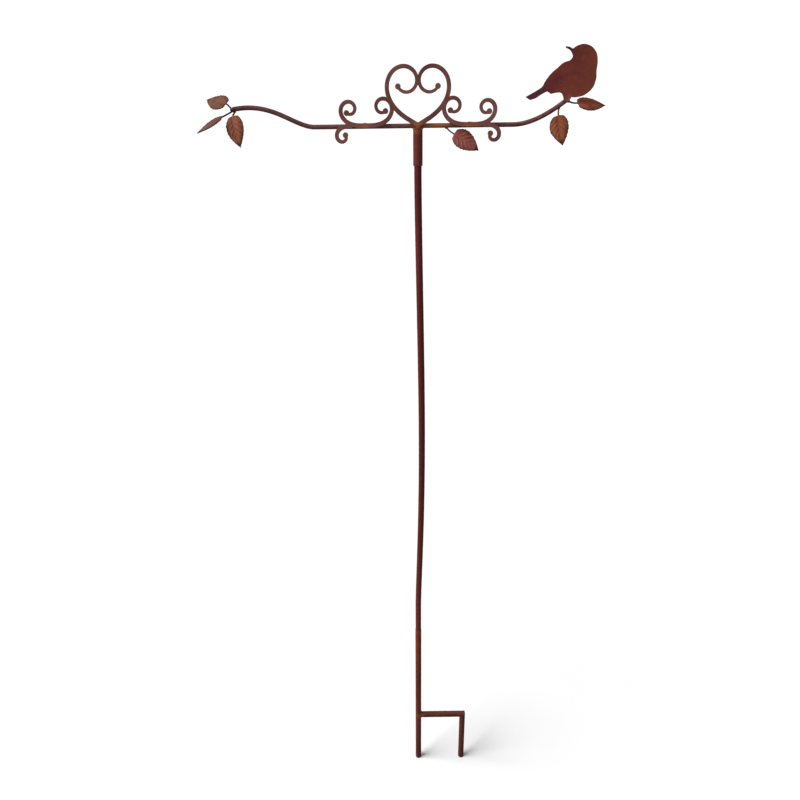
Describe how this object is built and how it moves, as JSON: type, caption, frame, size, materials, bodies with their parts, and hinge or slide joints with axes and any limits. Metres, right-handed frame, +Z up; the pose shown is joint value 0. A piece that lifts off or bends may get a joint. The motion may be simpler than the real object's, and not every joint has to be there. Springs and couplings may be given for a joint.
{
  "type": "garden stake",
  "caption": "Rusted steel garden stake: two-pronged foot, plug-in tube post and a sleeved head with a branch, flat songbird, leaves and scrollwork.",
  "frame": {"origin": "on the post's axis, level with the tips of the two legs", "axes": "+Z up along the post, +X along the branch towards the bird, -Y the front that the plates face"},
  "size_m": [0.6373, 0.0498, 1.5113],
  "materials": {
    "post_tube": "even red-brown rust",
    "foot_tube": "even brown rust",
    "branch_bar": "red-brown rust",
    "cut_plate": "red-brown rust, rustier at one side",
    "leaf_sheet": "orange-brown rust",
    "stem_wire": "dark brown rust",
    "weld_bead": "orange rust",
    "spigot_steel": "worn bright steel, lightly rusted"
  },
  "bodies": {
    "foot": {"foot_upright": "foot_tube", "joining_spigot": "spigot_steel", "step_bar": "foot_tube", "ground_prong": "foot_tube", "weld_step_bar": "weld_bead", "weld_prong_corner": "weld_bead"},
    "post": {"post_tube": "post_tube"},
    "head": {"head_sleeve": "post_tube", "branch_bar": "branch_bar", "scroll_plate": "cut_plate", "bird_plate": "cut_plate", "leaf_left_upper": "leaf_sheet", "leaf_left_lower": "leaf_sheet", "leaf_left_hanging": "leaf_sheet", "leaf_middle": "leaf_sheet", "leaf_right_hanging": "leaf_sheet", "leaf_right_end": "leaf_sheet", "stem_left_pair": "stem_wire", "stem_left_hanging": "stem_wire", "stem_middle": "stem_wire", "stem_right_hanging": "stem_wire", "stem_right_end": "stem_wire", "weld_sleeve_left": "weld_bead", "weld_sleeve_right": "weld_bead", "weld_scroll_left": "weld_bead", "weld_scroll_middle": "weld_bead", "weld_scroll_right": "weld_bead", "weld_bird_foot": "weld_bead", "weld_stem_left_pair": "weld_bead", "weld_stem_left_hanging": "weld_bead", "weld_stem_middle": "weld_bead", "weld_stem_right_hanging": "weld_bead", "weld_stem_right_end": "weld_bead"}
  },
  "joints": [
    {"name": "post_swivel", "type": "hinge", "parent": "foot", "child": "post", "pos_m": [0, 0, 0.3933], "axis": [0, 0, 1], "continuous": true},
    {"name": "head_lift", "type": "slide", "parent": "post", "child": "head", "axis": [0, 0, 1], "range_m": [0, 0.045]}
  ]
}
